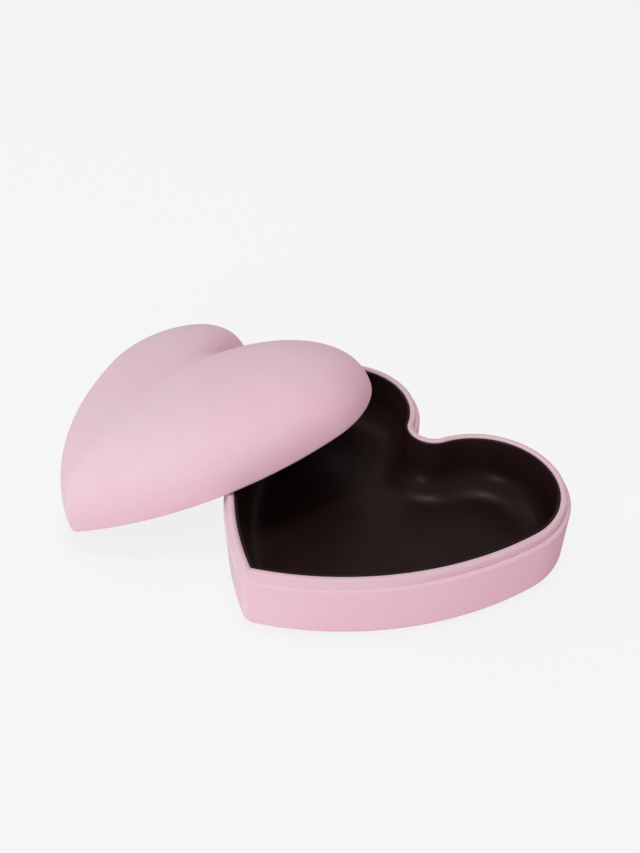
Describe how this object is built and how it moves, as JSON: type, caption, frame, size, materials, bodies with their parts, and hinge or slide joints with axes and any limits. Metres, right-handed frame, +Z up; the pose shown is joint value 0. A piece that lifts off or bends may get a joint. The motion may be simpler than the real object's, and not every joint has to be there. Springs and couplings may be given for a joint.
{
  "type": "heart-shaped keepsake box",
  "caption": "Heart-shaped velvet keepsake box: a round-edged tray with a raised collar and a glossy dark lining, and a puffed lift-off lid leaning on its rim.",
  "frame": {"origin": "on the underside plane of the tray, on its middle line, level with the centres of the two lobes", "axes": "+Z up; -Y towards the point of the tray's heart, +Y towards its cleft; +X across the tray, away from the leaning lid"},
  "size_m": [0.1643, 0.1075, 0.0422],
  "materials": {
    "pink_velvet": "short-pile velvet, pale rose",
    "dark_lining": "smooth dark brown, glossy",
    "moulded_core": "plain moulded",
    "base_felt": "thin felt"
  },
  "bodies": {
    "tray": {"tray_shell": "moulded_core", "tray_velvet": "pink_velvet", "collar_ring": "moulded_core", "collar_velvet": "pink_velvet", "tray_lining": "dark_lining", "tray_felt": "base_felt"},
    "lid": {"lid_shell": "moulded_core", "lid_velvet": "pink_velvet", "lid_lining": "dark_lining"}
  },
  "joints": [
    {"name": "lid_lift", "type": "slide", "parent": "tray", "child": "lid", "axis": [0, 0, 1], "range_m": [0, 0.12]}
  ]
}
